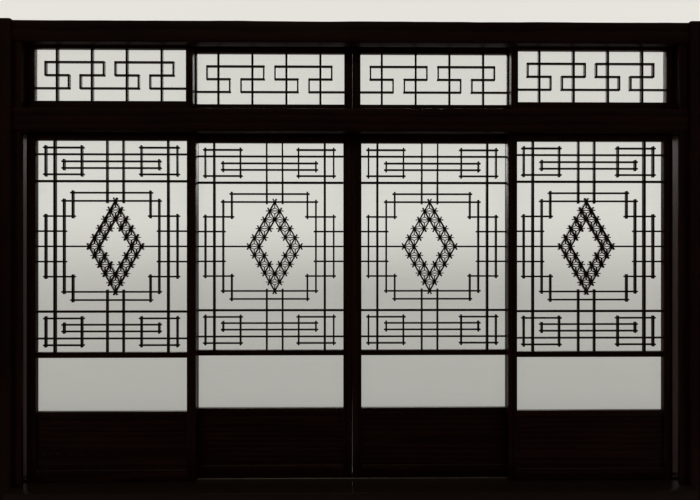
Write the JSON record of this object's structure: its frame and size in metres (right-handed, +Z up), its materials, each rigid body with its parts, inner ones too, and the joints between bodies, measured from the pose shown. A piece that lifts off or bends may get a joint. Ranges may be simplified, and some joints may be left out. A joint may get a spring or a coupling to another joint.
{
  "type": "traditional timber sliding door bay",
  "caption": "Post-and-beam house front bay with sliding glazed lattice doors in two tracks and fixed lattice transoms above.",
  "frame": {"origin": "middle of the foot of the bay, between the posts, at ground level", "axes": "+X to the right as seen from the room, +Y outdoors, +Z up"},
  "size_m": [3.994, 0.3, 2.55],
  "materials": {
    "timber": "dark stained, oiled, worn",
    "sash_timber": "dark stained, satin",
    "lattice_timber": "dark stained, satin",
    "glass": "clear, slightly dusty",
    "metal": "worn by the doors"
  },
  "bodies": {
    "root": {"left_post": "timber", "right_post": "timber", "sill": "timber", "door_head": "timber", "top_beam": "timber", "left_jamb": "timber", "right_jamb": "timber", "left_upper_jamb": "timber", "right_upper_jamb": "timber", "inner_rail": "metal", "outer_rail": "metal", "transom_1_sash": "sash_timber", "transom_1_glass": "glass", "transom_2_sash": "sash_timber", "transom_2_glass": "glass", "transom_3_sash": "sash_timber", "transom_3_glass": "glass", "transom_4_sash": "sash_timber", "transom_4_glass": "glass"},
    "leaf_1": {"leaf_1_frame": "sash_timber", "leaf_1_panel": "sash_timber", "leaf_1_lower_glass": "glass", "leaf_1_upper_glass": "glass", "leaf_1_lattice": "lattice_timber", "leaf_1_diamond": "lattice_timber"},
    "leaf_2": {"leaf_2_frame": "sash_timber", "leaf_2_panel": "sash_timber", "leaf_2_lower_glass": "glass", "leaf_2_upper_glass": "glass", "leaf_2_lattice": "lattice_timber", "leaf_2_diamond": "lattice_timber"},
    "leaf_3": {"leaf_3_frame": "sash_timber", "leaf_3_panel": "sash_timber", "leaf_3_lower_glass": "glass", "leaf_3_upper_glass": "glass", "leaf_3_lattice": "lattice_timber", "leaf_3_diamond": "lattice_timber"},
    "leaf_4": {"leaf_4_frame": "sash_timber", "leaf_4_panel": "sash_timber", "leaf_4_lower_glass": "glass", "leaf_4_upper_glass": "glass", "leaf_4_lattice": "lattice_timber", "leaf_4_diamond": "lattice_timber"}
  },
  "joints": [
    {"name": "leaf_1_slide", "type": "slide", "parent": "root", "child": "leaf_1", "axis": [1, 0, 0], "range_m": [-0.035, 0.84]},
    {"name": "leaf_2_slide", "type": "slide", "parent": "root", "child": "leaf_2", "axis": [1, 0, 0], "range_m": [-0.84, 0]},
    {"name": "leaf_3_slide", "type": "slide", "parent": "root", "child": "leaf_3", "axis": [1, 0, 0], "range_m": [0, 0.84]},
    {"name": "leaf_4_slide", "type": "slide", "parent": "root", "child": "leaf_4", "axis": [1, 0, 0], "range_m": [-0.84, 0.045]}
  ]
}
